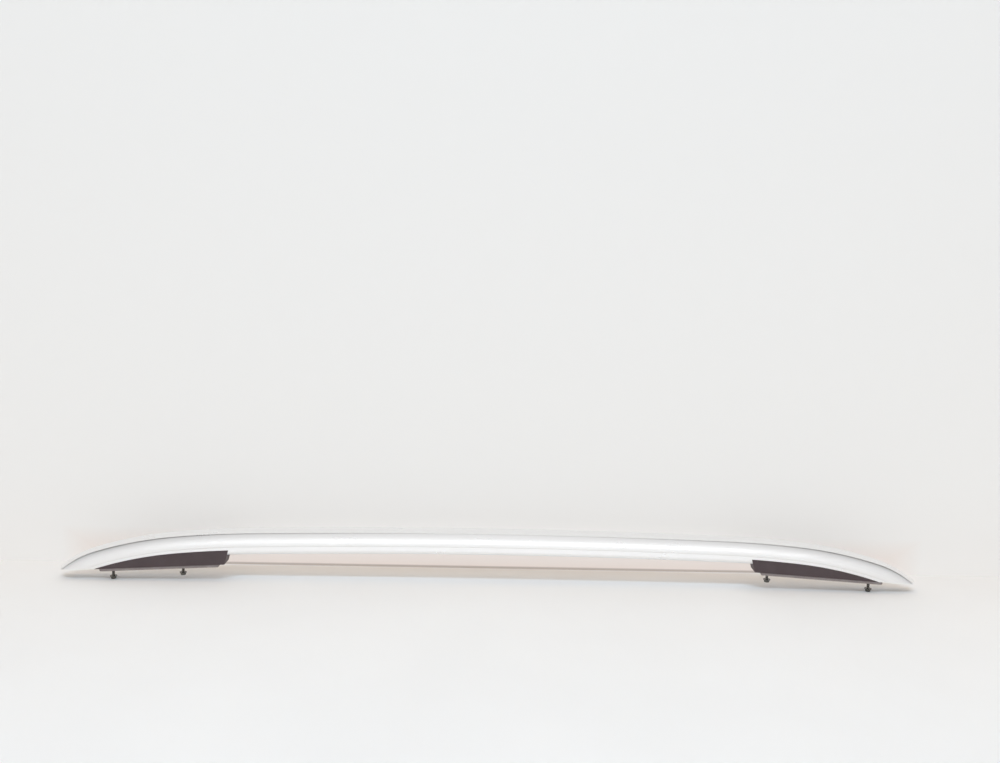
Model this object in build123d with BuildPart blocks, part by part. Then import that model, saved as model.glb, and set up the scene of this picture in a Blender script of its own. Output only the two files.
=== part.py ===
import math
import os

from build123d import *

# Roof rail: a bent hollow extrusion that stands on two moulded feet, with four studs for the roof.
# Millimetres. +X runs along the rail, +Y away from its outer face, +Z up. The origin lies midway
# between the two outer studs, on the roof line under the gaskets.

sides = {"left": -1, "right": 1}

# Bow of the rail's underside: tangent arcs from its apex down to each tip
apex_x = -8.0
crown_clearance = 46.0
crown_radius = 16955.0
shoulder_setback = 288.8
shoulder_radius = 2000.0
shoulder_turn = 4.2
end_radius = 775.0
end_turn = 11.6
nose_radius = 165.0
nose_turn = 32.0

# Section of the extrusion, from its floor up: lip, crease, leaning belly and sloping top
rail_width = 34.0
rail_height = 43.5
top_rise = 6.0
wall = 2.6
lip_floor_inset = 1.6
lip_inset = 3.6
lip_radius = 7.0
crease_height = 15.0
crease_radius = 1.5
belly_height = 17.5
belly_inset = 1.2
belly_bulge = 1.3
belly_radius = 4.0
edge_inset = 6.5
edge_radius = 4.0
back_inset = 1.6
back_radius = 5.0
top_bulge = 0.9

# Roof under the feet, sloping down towards each tip
roof_slope = {"left": 3.1, "right": 3.7}
gasket_thickness = 5.5

# Feet: inner stud to outer stud, and inner stud to the inner end of the foot
outer_stud_x = 777.0
inner_setback = {"left": 144.0, "right": 209.0}
foot_overhang = {"left": 98.0, "right": 37.0}
foot_lip = 10.5
foot_width = 33.2
foot_end_lean = 15.0
foot_skin = 3.0
rib_thickness = 2.5
rib_pitch = 30.0
boss_length = 17.0
fit_clearance = 0.25

# Gaskets
gasket_width = 31.0
gasket_end_inset = 22.0
gasket_reach = 27.0
gasket_end_radius = 12.0

# End blocks that plug the slanted ends of the rail and carry the outer studs
block_tail = 12.0
block_tail_height = 19.0
block_step = 15.0
block_seat_height = 10.0

# Anchor blocks on the rail floor that carry the inner studs
anchor_length = 34.0
anchor_height = 8.0

# Studs and flange nuts
stud_radius = 3.0
stud_collar_radius = 3.5
stud_thread_radius = 2.7
stud_shoulder_drop = 1.0
stud_tip_chamfer = 0.8
stud_hole_clearance = 0.2
stud_head_flats = 10.0
stud_head_height = 4.0
spot_face_radius = 8.0
outer_stud_reach = 26.5
inner_stud_reach = 24.0
gasket_hole_radius = 4.4
nut_flats = 10.0
nut_height = 6.0
nut_chamfer_radius = 5.1
nut_flange_radius = 7.1
nut_flange_height = 1.5
nut_cone_height = 1.0
nut_stand_off = 1.0
nut_clearance = 0.1

# Foot screws, driven from below square to the rail floor
inner_screw_offset = {"left": -50.0, "right": 50.0}
screw_radius = 2.4
screw_clearance = 0.1
screw_head_radius = 4.75
screw_head_height = 3.2
screw_head_clearance = 0.4
screw_head_cover = 2.0
screw_socket_flats = 4.0
screw_socket_depth = 1.8
screw_web = 4.0
inner_screw_rise = 5.0
outer_screw_rise = 11.0

# Worked out from the sizes above
section_plane = Plane(origin=(apex_x, 0, crown_clearance), x_dir=(0, 1, 0), z_dir=(1, 0, 0))
cut_depth = crown_clearance + 2 * rail_height
rail_reach = outer_stud_x + rail_height + nose_radius
place_tolerance = fit_clearance / 100
crown_turn = math.degrees(math.asin((outer_stud_x - shoulder_setback) / crown_radius))
bow_arcs = [
    (crown_radius, crown_turn),
    (shoulder_radius, shoulder_turn),
    (end_radius, end_turn),
    (nose_radius, nose_turn),
]


def bow_line(name):
    """The bow of the rail's underside from its apex to one tip."""
    side = sides[name]
    with BuildLine(Plane.XZ, mode=Mode.PRIVATE) as bow:
        start = Vector(apex_x, 0, crown_clearance)
        heading = Vector(side, 0, 0)
        for radius, turn in bow_arcs:
            arc = JernArc(start, heading, radius, -side * turn)
            start = arc @ 1
            heading = arc % 1
    return bow.wire()


def floor_plane(name, x):
    """A plane on the underside of the rail at x, square to it."""
    side = sides[name]
    reach = side * (x - apex_x)
    run, height, slope = 0.0, crown_clearance, 0.0
    for radius, turn in bow_arcs:
        end_slope = slope + math.radians(turn)
        end_run = run + radius * (math.sin(end_slope) - math.sin(slope))
        if reach <= end_run:
            here = math.asin(math.sin(slope) + (reach - run) / radius)
            height -= radius * (math.cos(slope) - math.cos(here))
            break
        height -= radius * (math.cos(slope) - math.cos(end_slope))
        run, slope = end_run, end_slope
    return Plane(
        origin=(x, 0, height),
        x_dir=(math.cos(here), 0, -side * math.sin(here)),
        z_dir=(side * math.sin(here), 0, math.cos(here)),
    )


def seat_height(name, x):
    """Height of the underside of a foot above the roof line's origin."""
    rise_per_run = math.tan(math.radians(roof_slope[name]))
    return gasket_thickness + (outer_stud_x - abs(x)) * rise_per_run


def seat_plane(name):
    """The plane of the underside of one foot, at its outer stud."""
    side = sides[name]
    slope = math.radians(roof_slope[name])
    return Plane(
        origin=(side * outer_stud_x, 0, gasket_thickness),
        x_dir=(math.cos(slope), 0, -side * math.sin(slope)),
        z_dir=(side * math.sin(slope), 0, math.cos(slope)),
    )


def across(name, x):
    """The plane square to the rail's length at x, facing its tip."""
    side = sides[name]
    return Plane(origin=(x, 0, 0), x_dir=(0, side, 0), z_dir=(side, 0, 0))


def wedge_height(name, x):
    """Height of the rail's underside above the underside of the foot."""
    return floor_plane(name, x).origin.Z - seat_height(name, x)


def wedge_place(name, height):
    """Where the foot is this high under the rail, between its inner stud and its outer stud."""
    near, far = abs(inner_stud_x[name]), outer_stud_x
    while far - near > place_tolerance:
        middle = (near + far) / 2
        if wedge_height(name, sides[name] * middle) > height:
            near = middle
        else:
            far = middle
    return sides[name] * near


# Places along the rail
screw_depth = screw_web + screw_head_height + screw_head_cover
inner_stud_x = {name: side * (outer_stud_x - inner_setback[name]) for name, side in sides.items()}
foot_end_x = {name: inner_stud_x[name] - sides[name] * foot_overhang[name] for name in sides}
outer_screw_x = {name: wedge_place(name, screw_depth) for name in sides}
inner_screw_x = {name: inner_stud_x[name] + sides[name] * inner_screw_offset[name] for name in sides}


def foot_end_plane(name):
    """The undercut inner end of a foot, facing its tip, through its corner at the top of the lip."""
    side = sides[name]
    corner = floor_plane(name, foot_end_x[name]).offset(foot_lip).origin
    lean = math.radians(foot_end_lean)
    return Plane(origin=corner, x_dir=(0, side, 0), z_dir=(side * math.cos(lean), 0, math.sin(lean)))


def core_spans(name):
    """Spans along the foot that are cored out: from boss to boss, divided by ribs."""
    side = sides[name]
    bosses = sorted((abs(inner_stud_x[name]), abs(inner_screw_x[name]), abs(outer_screw_x[name])))
    corner = foot_end_plane(name).origin
    lean_run = (corner.Z - seat_height(name, corner.X)) * math.tan(math.radians(foot_end_lean))
    starts = [abs(corner.X) + lean_run + foot_skin]
    starts += [boss + boss_length / 2 for boss in bosses[:-1]]
    spans = []
    for start, boss in zip(starts, bosses):
        length = boss - boss_length / 2 - start
        count = max(1, math.ceil(length / rib_pitch))
        cell = (length - (count - 1) * rib_thickness) / count
        for index in range(count):
            low = start + index * (cell + rib_thickness)
            spans.append((side * low, side * (low + cell)))
    return spans


def anchor_seat(name):
    """Height of the flat top of an anchor block, at the inner stud's head."""
    return floor_plane(name, inner_stud_x[name]).offset(wall).origin.Z + anchor_height


os.makedirs("parts", exist_ok=True)

# Outline of the extrusion: a leaning lip, a bulging belly each side and a sloping top
with BuildSketch() as rail_outline:
    half = rail_width / 2
    with BuildLine():
        lip = Polyline(
            (-half + belly_inset, belly_height),
            (-half + lip_inset, crease_height),
            (-half + lip_floor_inset, 0),
            (half - lip_inset, 0),
            (half - lip_inset, crease_height),
            (half - belly_inset, belly_height),
        )
        back = SagittaArc(lip @ 1, (half - back_inset, rail_height + top_rise), -belly_bulge)
        top = SagittaArc(back @ 1, (-half + edge_inset, rail_height), -top_bulge)
        SagittaArc(top @ 1, lip @ 0, -belly_bulge)
    make_face()
    fillet(rail_outline.vertices().group_by(Axis.Y)[0], lip_radius)
    fillet(rail_outline.vertices().filter_by_position(Axis.Y, crease_height, crease_height), crease_radius)
    fillet(rail_outline.vertices().filter_by_position(Axis.Y, belly_height, belly_height), belly_radius)
    fillet(rail_outline.vertices().sort_by(Axis.Y)[-2], edge_radius)
    fillet(rail_outline.vertices().sort_by(Axis.Y)[-1], back_radius)

# Rail: the hollow section along the bow, cut off on the slope of the roof at both tips
with BuildPart() as rail:
    with BuildSketch(section_plane):
        add(rail_outline.sketch_local)
        offset(amount=-wall, mode=Mode.SUBTRACT)
    sweep(path=bow_line("right"))
    mirror(about=Plane.YZ.offset(apex_x))
    for name, side in sides.items():
        with BuildSketch(Plane.XZ):
            Polygon(
                (foot_end_x[name], seat_height(name, foot_end_x[name])),
                (side * rail_reach, seat_height(name, rail_reach)),
                (side * rail_reach, -cut_depth),
                (foot_end_x[name], -cut_depth),
                align=None,
            )
        extrude(amount=rail_width, both=True, mode=Mode.SUBTRACT)
        for screw_x in (outer_screw_x[name], inner_screw_x[name]):
            with BuildSketch(floor_plane(name, screw_x).offset(-wall)):
                Circle(screw_radius + screw_clearance)
            extrude(amount=3 * wall, mode=Mode.SUBTRACT)
        with BuildSketch(Plane.XY.offset(seat_height(name, inner_stud_x[name]))):
            with Locations((inner_stud_x[name], 0)):
                Circle(stud_collar_radius + stud_hole_clearance)
        extrude(amount=rail_height - anchor_height, mode=Mode.SUBTRACT)
        with BuildSketch(Plane.XY):
            with Locations((side * outer_stud_x, 0)):
                Circle(stud_collar_radius + stud_hole_clearance)
            with Locations((side * (outer_stud_x + block_step / 2), 0)):
                Rectangle(block_step, 2 * (stud_collar_radius + stud_hole_clearance))
        extrude(amount=gasket_thickness + block_seat_height, mode=Mode.SUBTRACT)
rail.part.label = "rail"
export_step(rail.part, "parts/rail.step")

for name, side in sides.items():
    outer_x = side * outer_stud_x
    inner_x = inner_stud_x[name]

    # Foot: a moulded wedge that cradles the rail's lip, cored out from below between its bosses
    with BuildPart() as foot:
        with BuildSketch(section_plane):
            with Locations((0, foot_lip)):
                Rectangle(foot_width, rail_height, align=(Align.CENTER, Align.MAX))
        sweep(path=bow_line(name))
        split(bisect_by=seat_plane(name), keep=Keep.TOP)
        split(bisect_by=foot_end_plane(name), keep=Keep.TOP)
        with BuildSketch(section_plane):
            add(rail_outline.sketch_local)
            offset(amount=fit_clearance)
        sweep(path=bow_line(name), mode=Mode.SUBTRACT)
        for low_x, high_x in core_spans(name):
            along_seat = ((low_x + high_x) / 2 - outer_x) / math.cos(math.radians(roof_slope[name]))
            with BuildSketch(seat_plane(name)):
                with Locations((along_seat, 0)):
                    Rectangle(abs(high_x - low_x), foot_width - 2 * foot_skin)
            extrude(amount=wedge_height(name, high_x) - foot_skin, mode=Mode.SUBTRACT)
        for screw_x in (outer_screw_x[name], inner_screw_x[name]):
            with BuildSketch(floor_plane(name, screw_x)):
                Circle(screw_radius + screw_clearance)
            extrude(amount=-cut_depth, mode=Mode.SUBTRACT)
            with BuildSketch(floor_plane(name, screw_x).offset(-screw_web)):
                Circle(screw_head_radius + screw_head_clearance)
            extrude(amount=-cut_depth, mode=Mode.SUBTRACT)
        with BuildSketch(Plane.XY):
            with Locations((outer_x, 0), (inner_x, 0)):
                Circle(stud_collar_radius + stud_hole_clearance)
        extrude(amount=cut_depth, both=True, mode=Mode.SUBTRACT)
    foot.part.label = f"foot_{name}"
    export_step(foot.part, f"parts/foot_{name}.step")

    # Gasket: a soft strip under the foot, round at its outer end
    with BuildPart() as gasket:
        with BuildSketch(seat_plane(name)) as gasket_face:
            inner_end = foot_end_x[name] - outer_x + side * gasket_end_inset
            outer_end = side * gasket_reach
            with Locations(((inner_end + outer_end) / 2, 0)):
                Rectangle(abs(outer_end - inner_end), gasket_width)
            fillet(gasket_face.vertices().group_by(Axis.X)[-1 if side > 0 else 0], gasket_end_radius)
        extrude(amount=-gasket_thickness)
        with BuildSketch(Plane.XY):
            with Locations((outer_x, 0), (inner_x, 0)):
                Circle(gasket_hole_radius)
        extrude(amount=cut_depth, both=True, mode=Mode.SUBTRACT)
    gasket.part.label = f"gasket_{name}"
    export_step(gasket.part, f"parts/gasket_{name}.step")

    # End block: plugs the open tip, with a low tail for the outer stud and the outer foot screw
    step_x = outer_x + side * block_step
    tail_x = outer_screw_x[name] - side * block_tail
    tail_top = floor_plane(name, tail_x).offset(block_tail_height).origin.Z
    stud_seat = seat_height(name, outer_x) + block_seat_height
    with BuildPart() as end_block:
        with BuildSketch(section_plane):
            add(rail_outline.sketch_local)
            offset(amount=-wall - fit_clearance, mode=Mode.REPLACE)
        sweep(path=bow_line(name))
        split(bisect_by=seat_plane(name), keep=Keep.TOP)
        split(bisect_by=across(name, tail_x), keep=Keep.TOP)
        with BuildSketch(Plane.XZ):
            Polygon(
                (tail_x, tail_top),
                (step_x, stud_seat),
                (step_x, cut_depth),
                (tail_x, cut_depth),
                align=None,
            )
        extrude(amount=rail_width, both=True, mode=Mode.SUBTRACT)
        with BuildSketch(Plane.XY.offset(stud_seat)):
            with Locations((outer_x, 0)):
                Circle(spot_face_radius)
        extrude(amount=cut_depth, mode=Mode.SUBTRACT)
        with BuildSketch(Plane.XY):
            with Locations((outer_x, 0)):
                Circle(stud_collar_radius + stud_hole_clearance)
        extrude(amount=cut_depth, both=True, mode=Mode.SUBTRACT)
        with BuildSketch(floor_plane(name, outer_screw_x[name])):
            Circle(screw_radius + screw_clearance)
        extrude(amount=outer_screw_rise + screw_clearance, mode=Mode.SUBTRACT)
    end_block.part.label = f"end_block_{name}"
    export_step(end_block.part, f"parts/end_block_{name}.step")

    # Anchor block: lies on the floor of the rail under the head of the inner stud
    anchor_top = anchor_seat(name)
    with BuildPart() as anchor:
        with BuildSketch(section_plane):
            add(rail_outline.sketch_local)
            offset(amount=-wall - fit_clearance, mode=Mode.REPLACE)
        sweep(path=bow_line(name))
        split(bisect_by=across(name, inner_x - side * anchor_length / 2), keep=Keep.TOP)
        split(bisect_by=across(name, inner_x + side * anchor_length / 2), keep=Keep.BOTTOM)
        split(bisect_by=Plane.XY.offset(anchor_top), keep=Keep.BOTTOM)
        with BuildSketch(Plane.XY):
            with Locations((inner_x, 0)):
                Circle(stud_collar_radius + stud_hole_clearance)
        extrude(amount=cut_depth, mode=Mode.SUBTRACT)
    anchor.part.label = f"anchor_block_{name}"
    export_step(anchor.part, f"parts/anchor_block_{name}.step")

    # Foot screws: pan heads with a hexagon socket, from below
    for place, screw_x, rise in (
        ("outer", outer_screw_x[name], outer_screw_rise),
        ("inner", inner_screw_x[name], inner_screw_rise),
    ):
        head_plane = floor_plane(name, screw_x).offset(-screw_web)
        with BuildPart() as screw:
            with BuildSketch(head_plane):
                Circle(screw_radius)
            extrude(amount=screw_web + rise)
            with BuildSketch(head_plane):
                Circle(screw_head_radius)
            extrude(amount=-screw_head_height)
            with BuildSketch(head_plane.offset(-screw_head_height)):
                RegularPolygon(screw_socket_flats / 2, 6, major_radius=False)
            extrude(amount=screw_socket_depth, mode=Mode.SUBTRACT)
        screw.part.label = f"foot_screw_{name}_{place}"
        export_step(screw.part, f"parts/foot_screw_{name}_{place}.step")

    # Studs: hexagon head on its block, a collar through the block, then the shank and the thread
    for place, x, reach, head_seat in (
        ("outer", outer_x, outer_stud_reach, stud_seat),
        ("inner", inner_x, inner_stud_reach, anchor_top),
    ):
        tip = seat_height(name, x) - reach
        nut_low = tip + nut_stand_off
        nut_high = nut_low + nut_height
        shoulder = seat_height(name, x) - stud_shoulder_drop
        with BuildPart() as stud:
            for radius, low, high in (
                (stud_thread_radius, tip, nut_high),
                (stud_radius, nut_high, shoulder),
                (stud_collar_radius, shoulder, head_seat),
            ):
                with BuildSketch(Plane.XY.offset(low)):
                    with Locations((x, 0)):
                        Circle(radius)
                extrude(amount=high - low)
            chamfer(stud.edges().sort_by(Axis.Z)[0], stud_tip_chamfer)
            with BuildSketch(Plane.XY.offset(head_seat)):
                with Locations((x, 0)):
                    RegularPolygon(stud_head_flats / 2, 6, major_radius=False)
            extrude(amount=stud_head_height)
        stud.part.label = f"stud_{name}_{place}"
        export_step(stud.part, f"parts/stud_{name}_{place}.step")

        # Nut: a hexagon with its lower corners turned off, under a coned flange
        with BuildPart() as nut:
            with BuildSketch(Plane.XY.offset(nut_low)):
                with Locations((x, 0)):
                    RegularPolygon(nut_flats / 2, 6, major_radius=False)
            extrude(amount=nut_height)
            with Locations((x, 0, nut_low)):
                Cone(
                    nut_chamfer_radius,
                    nut_chamfer_radius + nut_height,
                    nut_height,
                    align=(Align.CENTER, Align.CENTER, Align.MIN),
                    mode=Mode.INTERSECT,
                )
            with BuildSketch(Plane.XY.offset(nut_high)):
                with Locations((x, 0)):
                    Circle(nut_flange_radius)
            extrude(amount=-nut_flange_height)
            with Locations((x, 0, nut_high - nut_flange_height)):
                Cone(
                    nut_flats / 2,
                    nut_flange_radius,
                    nut_cone_height,
                    align=(Align.CENTER, Align.CENTER, Align.MAX),
                )
            with BuildSketch(Plane.XY.offset(nut_low)):
                with Locations((x, 0)):
                    Circle(stud_thread_radius + nut_clearance)
            extrude(amount=nut_height, mode=Mode.SUBTRACT)
        nut.part.label = f"nut_{name}_{place}"
        export_step(nut.part, f"parts/nut_{name}_{place}.step")
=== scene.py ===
import math

import bmesh
import bpy
from mathutils import Matrix, Vector


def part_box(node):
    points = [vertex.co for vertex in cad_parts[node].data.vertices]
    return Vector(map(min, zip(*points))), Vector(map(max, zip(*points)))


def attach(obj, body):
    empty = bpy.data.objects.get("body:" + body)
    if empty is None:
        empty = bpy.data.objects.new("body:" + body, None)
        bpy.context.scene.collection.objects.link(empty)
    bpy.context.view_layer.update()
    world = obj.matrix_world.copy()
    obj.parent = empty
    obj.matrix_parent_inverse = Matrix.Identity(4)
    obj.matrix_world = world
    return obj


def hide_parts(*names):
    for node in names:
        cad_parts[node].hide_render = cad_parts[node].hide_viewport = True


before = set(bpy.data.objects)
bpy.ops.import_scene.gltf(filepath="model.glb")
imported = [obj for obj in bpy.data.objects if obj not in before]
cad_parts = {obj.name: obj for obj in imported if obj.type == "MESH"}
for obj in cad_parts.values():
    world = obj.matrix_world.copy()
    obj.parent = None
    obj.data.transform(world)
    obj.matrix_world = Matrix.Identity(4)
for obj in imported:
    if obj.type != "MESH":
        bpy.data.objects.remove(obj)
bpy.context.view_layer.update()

# Camera, as the photograph was taken
image_width = 1000
focal_pixels = 1006.7
sensor_width = 36.0
camera_place = (0.01619, -1.99917, 0.67433)
camera_yaw = math.radians(-0.099)
camera_pitch = math.radians(-7.744)
camera_roll = math.radians(0.948)

# Stage
floor_height = -0.021
wall_distance = 0.108
floor_glow = 0.04
wall_glow = 0.5
# Wall paint from its foot up to a height, as share and tone, and where its painted shade at the foot
# ends at the sides
wall_tone_height = 0.2
painted_shade_reach = (0.80, 0.93)
# The lowest stops paint shade on the wall: a dark strip of painted corner shade where it meets the
# floor, then a warm band of painted shade from the rail that fades into the even wall tone by share 0.4.
wall_tones_and_painted_shade = [
    (0.0, (0.52, 0.45, 0.41)),
    (0.015, (0.54, 0.47, 0.43)),
    (0.03, (0.88, 0.79, 0.74)),
    (0.2, (0.88, 0.82, 0.785)),
    (0.4, (0.902, 0.89, 0.876)),
    (1.0, (0.904, 0.897, 0.885)),
]
stage_half_length = 6.0
stage_depth = 8.0
wall_top = 5.0

# Light of the room before and behind the wall, and the tone that is seen of it
room_light = (0.91, 0.735, 0.565)
back_light = (0.61, 0.65, 0.70)
room_tone = (0.84, 0.84, 0.84)

# How the room's light grows with height, how its reflection fades high up at the sides, and where the
# light behind the wall takes over: from low, from high, to low, to high
sky_growth = (0.2, 0.9, 0.04, 1.62)
side_fading = (0.06, 0.34, 1.0, 0.02)
wall_turn = (-0.1, 0.1, 0.0, 1.0)

# Lamps: a key high in front, which only lights, and a low strip that the rail's face reflects
key_place = (0.0, -3.1, 3.95)
key_target = (0.0, 0.0, 0.0)
key_size = (3.0, 0.5)
key_watts = 108.0
key_colour = (0.555, 0.775, 0.97)
front_place = (0.0, -4.0, 0.16)
front_target = (0.0, 0.0, 0.1)
front_size = (4.0, 0.32)
front_watts = 6.2
front_colour = (0.97, 0.99, 1.0)

# Bow of the rail's underside: apex, then radius, turn and steps of each arc towards the tips
apex_x = -0.008
crown_clearance = 0.046
crown_half_length = 0.4882
crown_radius = 16.955
bow_arcs = [
    (crown_radius, math.asin(crown_half_length / crown_radius), 20),
    (2.0, math.radians(4.2), 18),
    (0.775, math.radians(11.6), 31),
    (0.165, math.radians(32.0), 37),
]

# Section of the rail, down its front and up its back: corner, rounding, bulge and steps to the next
rail_wall = 0.0026
rail_sharp_turn = math.radians(40)
corner_steps = 9
section_corners = [
    (Vector((-0.0105, 0.0435)), 0.0040, 0.0013, 22),
    (Vector((-0.0158, 0.0175)), 0.0020, 0.0, 2),
    (Vector((-0.0152, 0.0160)), 0.0015, 0.0, 8),
    (Vector((-0.0164, 0.0)), 0.0070, 0.0, 6),
    (Vector((0.0134, 0.0)), 0.0070, 0.0, 4),
    (Vector((0.0134, 0.0150)), 0.0015, 0.0, 2),
    (Vector((0.0158, 0.0175)), 0.0040, 0.0013, 12),
    (Vector((0.0154, 0.0495)), 0.0050, 0.0009, 18),
]

# Roof under the feet, which the tips of the rail are cut off along
outer_stud_x = 0.777
gasket_thickness = 0.0055
roof_slope = {-1: math.radians(3.1), 1: math.radians(3.7)}

# Studs: M6 coarse thread, with flat crests and straight flanks, under a smooth collar and a hexagon head
thread_pitch = 0.001
thread_major = 0.003
thread_minor = 0.00245
thread_in_nut = 0.00275
thread_rows = 8
thread_sides = 28
thread_crest = 1.35
thread_flank = 3.2
stud_tip_radius = 0.0021
stud_collar_radius = 0.0035
stud_sharp_turn = math.radians(50)
stud_head_flats = 0.010
stud_head_sides = 6
stud_head_height = 0.004
stud_shoulder_drop = 0.001
stud_reach = {"outer": 0.0265, "inner": 0.024}
nut_stand_off = 0.001
nut_height = 0.006


def make_camera():
    data = bpy.data.cameras.new("camera")
    data.sensor_width = sensor_width
    data.lens = focal_pixels * sensor_width / image_width
    camera = bpy.data.objects.new("camera", data)
    bpy.context.collection.objects.link(camera)
    turn = (
        Matrix.Rotation(-camera_yaw, 4, "Z")
        @ Matrix.Rotation(math.pi / 2 + camera_pitch, 4, "X")
        @ Matrix.Rotation(camera_roll, 4, "Z")
    )
    camera.matrix_world = Matrix.Translation(camera_place) @ turn
    bpy.context.scene.camera = camera


class Shader:
    """A new material with short ways to add nodes to it."""

    def __init__(self, name):
        self.material = bpy.data.materials.new(name)
        self.material.use_nodes = True
        self.tree = self.material.node_tree
        self.surface = self.tree.nodes["Principled BSDF"]
        self.output = self.tree.nodes["Material Output"]

    def add(self, kind, **settings):
        node = self.tree.nodes.new(kind)
        for key, value in settings.items():
            setattr(node, key, value)
        return node

    def link(self, source, target):
        self.tree.links.new(source, target)

    def place(self):
        return self.add("ShaderNodeTexCoord").outputs["Object"]

    def stretched(self, vector, scale):
        mapping = self.add("ShaderNodeMapping")
        mapping.inputs["Scale"].default_value = scale
        self.link(vector, mapping.inputs["Vector"])
        return mapping.outputs["Vector"]

    def noise(self, vector, scale, detail):
        node = self.add("ShaderNodeTexNoise")
        node.inputs["Scale"].default_value = scale
        node.inputs["Detail"].default_value = detail
        self.link(vector, node.inputs["Vector"])
        return node.outputs["Fac"]

    def cells(self, vector, scale):
        node = self.add("ShaderNodeTexVoronoi")
        node.inputs["Scale"].default_value = scale
        self.link(vector, node.inputs["Vector"])
        return node.outputs["Distance"]

    def ramp(self, factor, low, high, start=0.3, end=0.7):
        node = self.add("ShaderNodeValToRGB")
        for stop, position, colour in zip(node.color_ramp.elements, (start, end), (low, high)):
            stop.position = position
            stop.color = (*colour, 1)
        self.link(factor, node.inputs["Fac"])
        return node.outputs["Color"]

    def spread(self, factor, low, high, start=0.3, end=0.7):
        node = self.add("ShaderNodeMapRange")
        node.inputs["From Min"].default_value = start
        node.inputs["From Max"].default_value = end
        node.inputs["To Min"].default_value = low
        node.inputs["To Max"].default_value = high
        self.link(factor, node.inputs["Value"])
        return node.outputs["Result"]

    def bump(self, height, depth, strength, under=None):
        node = self.add("ShaderNodeBump")
        node.inputs["Distance"].default_value = depth
        node.inputs["Strength"].default_value = strength
        self.link(height, node.inputs["Height"])
        if under is not None:
            self.link(under, node.inputs["Normal"])
        return node.outputs["Normal"]

    def drive(self, name, source):
        self.link(source, self.surface.inputs[name])

    def hold(self, name, value):
        self.surface.inputs[name].default_value = value


def anodised_aluminium():
    """Satin anodised extrusion: faint drawing lines along the bow and a fine etched grain."""
    shader = Shader("anodised_aluminium")
    along = shader.add("ShaderNodeAttribute", attribute_name="rail_way").outputs["Vector"]
    lines = shader.noise(shader.stretched(along, (3.0, 700.0, 700.0)), 1.0, 3.0)
    clouds = shader.noise(shader.stretched(along, (14.0, 40.0, 40.0)), 1.0, 2.0)
    etch = shader.noise(along, 4200.0, 2.0)
    shader.drive("Base Color", shader.ramp(lines, (0.935, 0.937, 0.942), (0.96, 0.961, 0.965)))
    shader.drive("Roughness", shader.spread(clouds, 0.27, 0.33))
    first = shader.bump(lines, 0.00002, 0.06)
    shader.drive("Normal", shader.bump(etch, 0.00002, 0.02, first))
    shader.hold("Metallic", 1.0)
    return shader.material


def moulded_plastic():
    """Charcoal plastic with the spark-eroded grain of its mould."""
    shader = Shader("moulded_plastic")
    place = shader.place()
    grain = shader.noise(place, 1500.0, 3.0)
    clouds = shader.noise(place, 35.0, 3.0)
    shader.drive("Base Color", shader.ramp(clouds, (0.068, 0.048, 0.053), (0.080, 0.059, 0.064)))
    shader.drive("Roughness", shader.spread(grain, 0.48, 0.62))
    shader.drive("Normal", shader.bump(grain, 0.00012, 0.35))
    return shader.material


def foam_rubber():
    """Closed-cell foam: small pores and a slightly mottled grey."""
    shader = Shader("foam_rubber")
    place = shader.place()
    pores = shader.cells(place, 1100.0)
    clouds = shader.noise(place, 60.0, 4.0)
    shader.drive("Base Color", shader.ramp(clouds, (0.27, 0.235, 0.235), (0.34, 0.305, 0.30)))
    shader.drive("Normal", shader.bump(pores, 0.0003, 0.6))
    shader.hold("Roughness", 0.92)
    return shader.material


def cast_alloy():
    """Die-cast alloy: dull grey skin with flow marks."""
    shader = Shader("cast_alloy")
    place = shader.place()
    skin = shader.noise(place, 900.0, 4.0)
    flow = shader.noise(shader.stretched(place, (25.0, 90.0, 90.0)), 1.0, 3.0)
    shader.drive("Base Color", shader.ramp(flow, (0.46, 0.46, 0.47), (0.58, 0.58, 0.59)))
    shader.drive("Roughness", shader.spread(skin, 0.42, 0.6))
    shader.drive("Normal", shader.bump(skin, 0.0001, 0.3))
    shader.hold("Metallic", 1.0)
    return shader.material


def plated_steel(name, colour_low, colour_high, rough_low, rough_high):
    """Plated steel, with patches where the plating has dulled."""
    shader = Shader(name)
    place = shader.place()
    patches = shader.noise(place, 420.0, 4.0)
    grit = shader.noise(place, 3800.0, 2.0)
    shader.drive("Base Color", shader.ramp(patches, colour_low, colour_high))
    shader.drive("Roughness", shader.spread(patches, rough_low, rough_high))
    shader.drive("Normal", shader.bump(grit, 0.00003, 0.2))
    shader.hold("Metallic", 1.0)
    return shader.material


def make_quad(name, corners, material):
    mesh = bpy.data.meshes.new(name)
    mesh.from_pydata(corners, [], [tuple(range(len(corners)))])
    mesh.materials.append(material)
    quad = bpy.data.objects.new(name, mesh)
    bpy.context.collection.objects.link(quad)


def show_pale(shader, colour, share):
    """Set part of a stage surface's pale tone for the camera and for reflections."""
    glow = shader.add("ShaderNodeEmission")
    shader.link(colour, glow.inputs["Color"])
    path = shader.add("ShaderNodeLightPath")
    seen = shader.add("ShaderNodeMath", operation="MAXIMUM")
    shader.link(path.outputs["Is Camera Ray"], seen.inputs[0])
    shader.link(path.outputs["Is Glossy Ray"], seen.inputs[1])
    pale = shader.add("ShaderNodeMixShader")
    shader.link(shader.spread(seen.outputs[0], 0.0, share, 0.0, 1.0), pale.inputs[0])
    shader.link(shader.surface.outputs[0], pale.inputs[1])
    shader.link(glow.outputs[0], pale.inputs[2])
    return pale.outputs[0]


def clear_behind(shader, front):
    """Show a stage surface from its front only, so that it hides nothing from behind or below."""
    clear = shader.add("ShaderNodeBsdfTransparent")
    mix = shader.add("ShaderNodeMixShader")
    shader.link(shader.add("ShaderNodeNewGeometry").outputs["Backfacing"], mix.inputs[0])
    shader.link(front, mix.inputs[1])
    shader.link(clear.outputs[0], mix.inputs[2])
    shader.link(mix.outputs[0], shader.output.inputs["Surface"])


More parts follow.
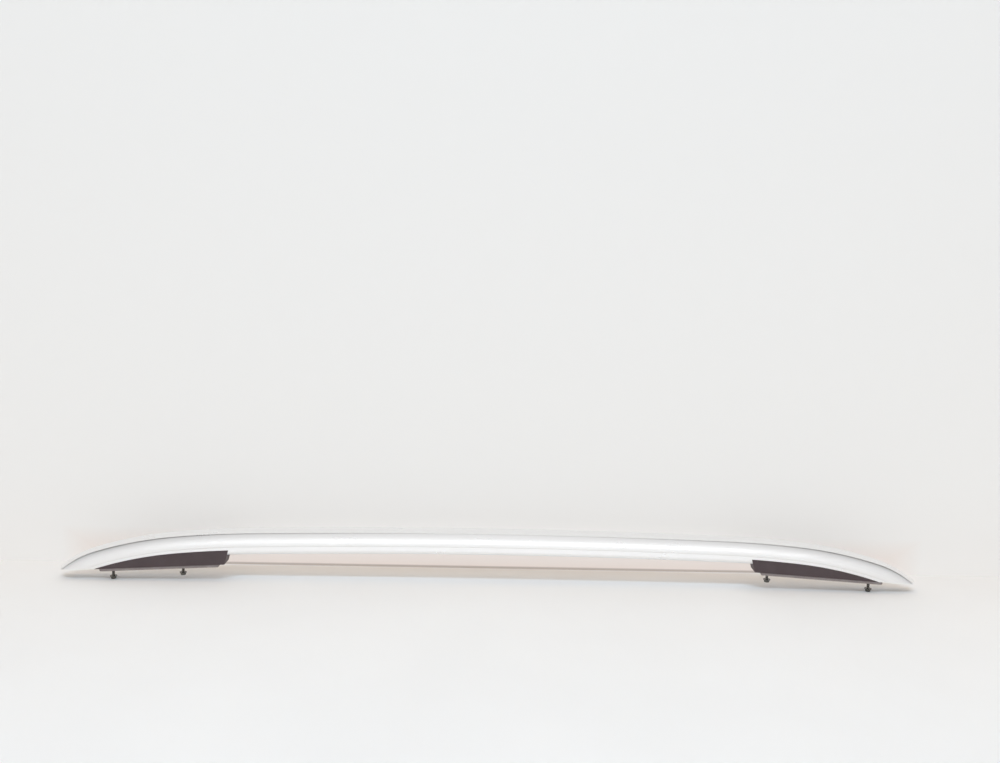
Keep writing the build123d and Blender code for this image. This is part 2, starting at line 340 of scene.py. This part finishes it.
def floor_paint():
    """Matt pale floor with a faint mottle."""
    shader = Shader("floor_paint")
    mottle = shader.noise(shader.place(), 3.0, 2.0)
    paint = shader.ramp(mottle, (0.815, 0.819, 0.826), (0.835, 0.839, 0.846))
    shader.drive("Base Color", paint)
    shader.hold("Roughness", 0.85)
    shader.hold("Specular IOR Level", 0.2)
    clear_behind(shader, show_pale(shader, paint, floor_glow))
    return shader.material


def wall_paint_with_painted_shade():
    """Matt wall, with painted shade at its foot: a dark strip of painted corner shade and a warm band of
    painted shade from the rail.
    """
    shader = Shader("wall_paint_with_painted_shade")
    height = shader.add("ShaderNodeSeparateXYZ")
    shader.link(shader.place(), height.inputs[0])
    paint = shader.add("ShaderNodeValToRGB")
    stops = paint.color_ramp.elements
    stops.remove(stops[1])
    for share, colour in wall_tones_and_painted_shade:
        stop = stops.new(share) if share else stops[0]
        stop.color = (*colour, 1)
    above = shader.spread(height.outputs["Z"], 0.0, 1.0, floor_height, floor_height + wall_tone_height)
    aside = shader.add("ShaderNodeMath", operation="ABSOLUTE")
    shader.link(height.outputs["X"], aside.inputs[0])
    level = shader.add("ShaderNodeMath", operation="MAXIMUM")
    shader.link(above, level.inputs[0])
    # Past the rail's ends, at the sides, the painted shade at the foot gives way to the even wall tone.
    shader.link(shader.spread(aside.outputs[0], 0.0, wall_tones_and_painted_shade[-2][0], *painted_shade_reach), level.inputs[1])
    shader.link(level.outputs[0], paint.inputs["Fac"])
    shader.drive("Base Color", paint.outputs["Color"])
    shader.hold("Roughness", 0.95)
    shader.hold("Specular IOR Level", 0.1)
    # The pale tone shown to the camera and in reflections carries the same painted shade at the foot.
    clear_behind(shader, show_pale(shader, paint.outputs["Color"], wall_glow))
    return shader.material


def make_stage():
    x, y = stage_half_length, stage_depth
    floor_corners = [(-x, -y), (x, -y), (x, y), (-x, y)]
    make_quad("floor", [(*corner, floor_height) for corner in floor_corners], floor_paint())
    wall_corners = [(-x, floor_height), (x, floor_height), (x, wall_top), (-x, wall_top)]
    make_quad("wall", [(across, wall_distance, up) for across, up in wall_corners], wall_paint_with_painted_shade())


def area_light(name, place, target, size, watts, colour):
    data = bpy.data.lights.new(name, "AREA")
    data.shape = "RECTANGLE"
    data.size, data.size_y = size
    data.energy = watts
    data.color = colour
    lamp = bpy.data.objects.new(name, data)
    lamp.location = place
    aim = Vector(target) - Vector(place)
    lamp.rotation_euler = aim.to_track_quat("-Z", "Y").to_euler()
    bpy.context.collection.objects.link(lamp)
    return lamp


def make_world():
    """A pale room. Its own light comes mostly from above, warm before the wall and cool behind it.
    It is seen neutral and even, and reflected so too, but dark high up at the sides."""
    world = bpy.data.worlds.new("studio")
    world.use_nodes = True
    tree = world.node_tree

    def range_node(source, limits):
        node = tree.nodes.new("ShaderNodeMapRange")
        for name, value in zip(("From Min", "From Max", "To Min", "To Max"), limits):
            node.inputs[name].default_value = value
        tree.links.new(source, node.inputs["Value"])
        return node.outputs["Result"]

    def math_node(operation, *sources):
        node = tree.nodes.new("ShaderNodeMath")
        node.operation = operation
        for source, socket in zip(sources, node.inputs):
            tree.links.new(source, socket)
        return node.outputs["Value"]

    def mix_node(kind, factor, low, high):
        node = tree.nodes.new("ShaderNodeMix")
        node.data_type = kind
        sockets = [socket for socket in node.inputs if socket.enabled]
        tree.links.new(factor, sockets[0])
        for source, socket in zip((low, high), sockets[1:]):
            if isinstance(source, bpy.types.NodeSocket):
                tree.links.new(source, socket)
            else:
                socket.default_value = (*source, 1)
        return next(socket for socket in node.outputs if socket.enabled)

    way = tree.nodes.new("ShaderNodeSeparateXYZ")
    tree.links.new(tree.nodes.new("ShaderNodeTexCoord").outputs["Generated"], way.inputs[0])
    aside = math_node("MULTIPLY", math_node("ABSOLUTE", way.outputs["X"]), way.outputs["Z"])
    reflected = range_node(aside, side_fading)
    falling = range_node(way.outputs["Z"], sky_growth)
    behind = range_node(way.outputs["Y"], wall_turn)
    path = tree.nodes.new("ShaderNodeLightPath")
    seen = math_node("MAXIMUM", path.outputs["Is Camera Ray"], path.outputs["Is Glossy Ray"])
    fill = mix_node("RGBA", behind, room_light, back_light)
    background = tree.nodes["Background"]
    tree.links.new(mix_node("RGBA", seen, fill, room_tone), background.inputs["Color"])
    shown = math_node("MAXIMUM", reflected, path.outputs["Is Camera Ray"])
    tree.links.new(mix_node("FLOAT", seen, falling, shown), background.inputs["Strength"])
    bpy.context.scene.world = world


def make_lights():
    key = area_light("key", key_place, key_target, key_size, key_watts, key_colour)
    key.visible_glossy = False
    area_light("front", front_place, front_target, front_size, front_watts, front_colour)
    make_world()


def side_point(index, share):
    """A point on one side of the rail's section and the direction there, both as y and height."""
    start, _, bulge, _ = section_corners[index]
    end = section_corners[(index + 1) % len(section_corners)][0]
    chord = end - start
    outward = Vector((chord.y, -chord.x)).normalized()
    point = start + chord * share + outward * (4 * bulge * share * (1 - share))
    heading = chord + outward * (4 * bulge * (1 - 2 * share))
    return point, heading, chord.length


def corner_trim(index):
    """How far the rounding of a corner reaches along its sides, and the corner's turn."""
    _, coming, _ = side_point(index - 1, 1.0)
    _, going, _ = side_point(index, 0.0)
    turn = coming.angle(going)
    return section_corners[index][1] * math.tan(turn / 2), turn


def section_points():
    """The outline of the rail, with its corners rounded."""
    count = len(section_corners)
    points = []
    for index in range(count):
        following = (index + 1) % count
        length = side_point(index, 0.0)[2]
        trim, turn = corner_trim(following)
        first = corner_trim(index)[0] / length
        last = 1 - trim / length
        steps = section_corners[index][3]
        for step in range(steps):
            points.append(side_point(index, first + (last - first) * step / steps)[0])
        enter = side_point(index, last)[0]
        leave = side_point(following, trim / side_point(following, 0.0)[2])[0]
        corner = section_corners[following][0]
        for step in range(corner_steps):
            share = step / corner_steps
            near, pull, far = (1 - share) ** 2, 2 * math.cos(turn / 2) * share * (1 - share), share ** 2
            points.append((enter * near + corner * pull + leave * far) / (near + pull + far))
    return points


def inset_points(points, depth):
    """An outline moved inwards by the wall's thickness."""
    inner = []
    for index, point in enumerate(points):
        heading = points[(index + 1) % len(points)] - points[index - 1]
        inner.append(point + Vector((-heading.y, heading.x)).normalized() * depth)
    return inner


def bow_stations():
    """Places along the bow from tip to tip: length, X, height of the underside and lean."""
    stations = []
    length, run, height, slope = 0.0, 0.0, crown_clearance, 0.0
    for radius, turn, steps in bow_arcs:
        for step in range(steps):
            here = slope + turn * (step + 1) / steps
            stations.append(
                (
                    length + radius * (here - slope),
                    run + radius * (math.sin(here) - math.sin(slope)),
                    height - radius * (math.cos(slope) - math.cos(here)),
                    here,
                )
            )
        length, run, height, slope = stations[-1]
    left = [(-s, apex_x - r, h, -lean) for s, r, h, lean in reversed(stations)]
    right = [(s, apex_x + r, h, lean) for s, r, h, lean in stations]
    return left + [(0.0, apex_x, crown_clearance, 0.0)] + right


def make_rail(material):
    """The hollow rail: its section swept along the bow, and its tips cut off along the roof."""
    form = bmesh.new()
    way = form.verts.layers.float_vector.new("rail_way")
    outline = section_points()
    for points in (outline, inset_points(outline, rail_wall)):
        rings = []
        for length, x, floor, lean in bow_stations():
            ring_points = []
            for point in points:
                across, height = point
                place = (x + height * math.sin(lean), across, floor + height * math.cos(lean))
                vertex = form.verts.new(place)
                vertex[way] = (length, across, height)
                ring_points.append(vertex)
            rings.append(ring_points)
        for low, high in zip(rings, rings[1:]):
            for index in range(len(low)):
                form.faces.new((low[index - 1], low[index], high[index], high[index - 1]))
    for side, slope in roof_slope.items():
        tip_faces = [f for f in form.faces if all(side * v.co.x > outer_stud_x / 2 for v in f.verts)]
        tip_edges = {edge for face in tip_faces for edge in face.edges}
        tip_points = {vertex for face in tip_faces for vertex in face.verts}
        cut = bmesh.ops.bisect_plane(
            form,
            geom=tip_faces + list(tip_edges) + list(tip_points),
            plane_co=(side * outer_stud_x, 0, gasket_thickness),
            plane_no=(side * math.sin(slope), 0, math.cos(slope)),
            clear_inner=True,
        )
        rim = [part for part in cut["geom_cut"] if isinstance(part, bmesh.types.BMEdge)]
        bmesh.ops.triangle_fill(form, edges=rim, use_beauty=True)
    bmesh.ops.recalc_face_normals(form, faces=form.faces)
    for face in form.faces:
        face.smooth = True
    mesh = bpy.data.meshes.new("rail_skin")
    form.to_mesh(mesh)
    form.free()
    mesh.set_sharp_from_angle(angle=rail_sharp_turn)
    mesh.materials.append(material)
    skin = bpy.data.objects.new("rail_skin", mesh)
    bpy.context.collection.objects.link(skin)
    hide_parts("rail")
    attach(skin, "root")


def thread_radius(height, angle, length):
    """Radius of the thread at a height over the stud's tip."""
    phase = (height / thread_pitch - angle / (2 * math.pi)) % 1.0
    ridge = min(max(thread_crest - thread_flank * abs(phase - 0.5), 0.0), 1.0)
    crest = thread_major
    if nut_stand_off < height < nut_stand_off + nut_height:
        crest = thread_in_nut
    radius = thread_minor + (crest - thread_minor) * ridge
    run_out = (length - height) / thread_pitch
    if run_out < 1.0:
        radius += (thread_major - radius) * (1.0 - run_out)
    return min(radius, stud_tip_radius + height)


def ring(x, z, radius, sides, turn=0.0):
    angles = [turn + 2 * math.pi * index / sides for index in range(sides)]
    return [(x + radius * math.cos(a), radius * math.sin(a), z) for a in angles]


def make_stud(name, place, material):
    """One stud: cut thread up to its shoulder, smooth collar, hexagon head."""
    low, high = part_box(name)
    x = (low[0] + high[0]) / 2
    tip = low[2]
    head_seat = high[2] - stud_head_height
    length = stud_reach[place] - stud_shoulder_drop
    rows = round(length / thread_pitch * thread_rows)
    rings = []
    for row in range(rows + 1):
        height = length * row / rows
        points = []
        for index in range(thread_sides):
            angle = 2 * math.pi * index / thread_sides
            radius = thread_radius(height, angle, length)
            points.append((x + radius * math.cos(angle), radius * math.sin(angle), tip + height))
        rings.append(points)
    rings.append(ring(x, tip + length, stud_collar_radius, thread_sides))
    rings.append(ring(x, head_seat, stud_collar_radius, thread_sides))
    corners = ring(x, head_seat, stud_head_flats / math.sqrt(3), stud_head_sides, math.pi / 6)
    points = [point for points in rings for point in points]
    faces = []
    for row in range(len(rings) - 1):
        base = row * thread_sides
        for index in range(thread_sides):
            following = (index + 1) % thread_sides
            upper = base + thread_sides
            faces.append((base + index, base + following, upper + following, upper + index))
    smooth = len(faces)
    faces.append(tuple(reversed(range(thread_sides))))
    top_ring = (len(rings) - 1) * thread_sides
    faces.append(tuple(range(top_ring, top_ring + thread_sides)))
    head = len(points)
    points += corners + [(px, py, pz + stud_head_height) for px, py, pz in corners]
    crown = head + stud_head_sides
    for index in range(stud_head_sides):
        following = (index + 1) % stud_head_sides
        faces.append((head + index, head + following, crown + following, crown + index))
    faces.append(tuple(reversed(range(head, crown))))
    faces.append(tuple(range(crown, crown + stud_head_sides)))
    mesh = bpy.data.meshes.new(f"{name}_threaded")
    mesh.from_pydata(points, [], faces)
    for polygon in mesh.polygons:
        polygon.use_smooth = polygon.index < smooth
    mesh.set_sharp_from_angle(angle=stud_sharp_turn)
    mesh.materials.append(material)
    stud = bpy.data.objects.new(f"{name}_threaded", mesh)
    bpy.context.collection.objects.link(stud)
    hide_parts(name)
    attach(stud, "root")


def dress_nodes(finish):
    """Give each CAD node the finish whose key its name starts with, the last one that fits."""
    for name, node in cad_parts.items():
        for start, material in finish.items():
            if name.startswith(start):
                for slot in node.material_slots:
                    slot.material = material


make_camera()
make_stage()
make_lights()
steel = plated_steel("black_steel", (0.035, 0.033, 0.032), (0.07, 0.067, 0.064), 0.34, 0.5)
zinc = plated_steel("zinc_plating", (0.10, 0.095, 0.087), (0.16, 0.155, 0.142), 0.14, 0.26)
bright_zinc = plated_steel("bright_zinc", (0.22, 0.21, 0.20), (0.30, 0.29, 0.27), 0.18, 0.3)
alloy = cast_alloy()
dress_nodes(
    {
        "foot": moulded_plastic(),
        "foot_screw": steel,
        "gasket": foam_rubber(),
        "end_block": alloy,
        "anchor_block": alloy,
        "nut": zinc,
    }
)
make_rail(anodised_aluminium())
for side in ("left", "right"):
    for place in stud_reach:
        make_stud(f"stud_{side}_{place}", place, bright_zinc)

bpy.context.scene.view_settings.view_transform = "Standard"
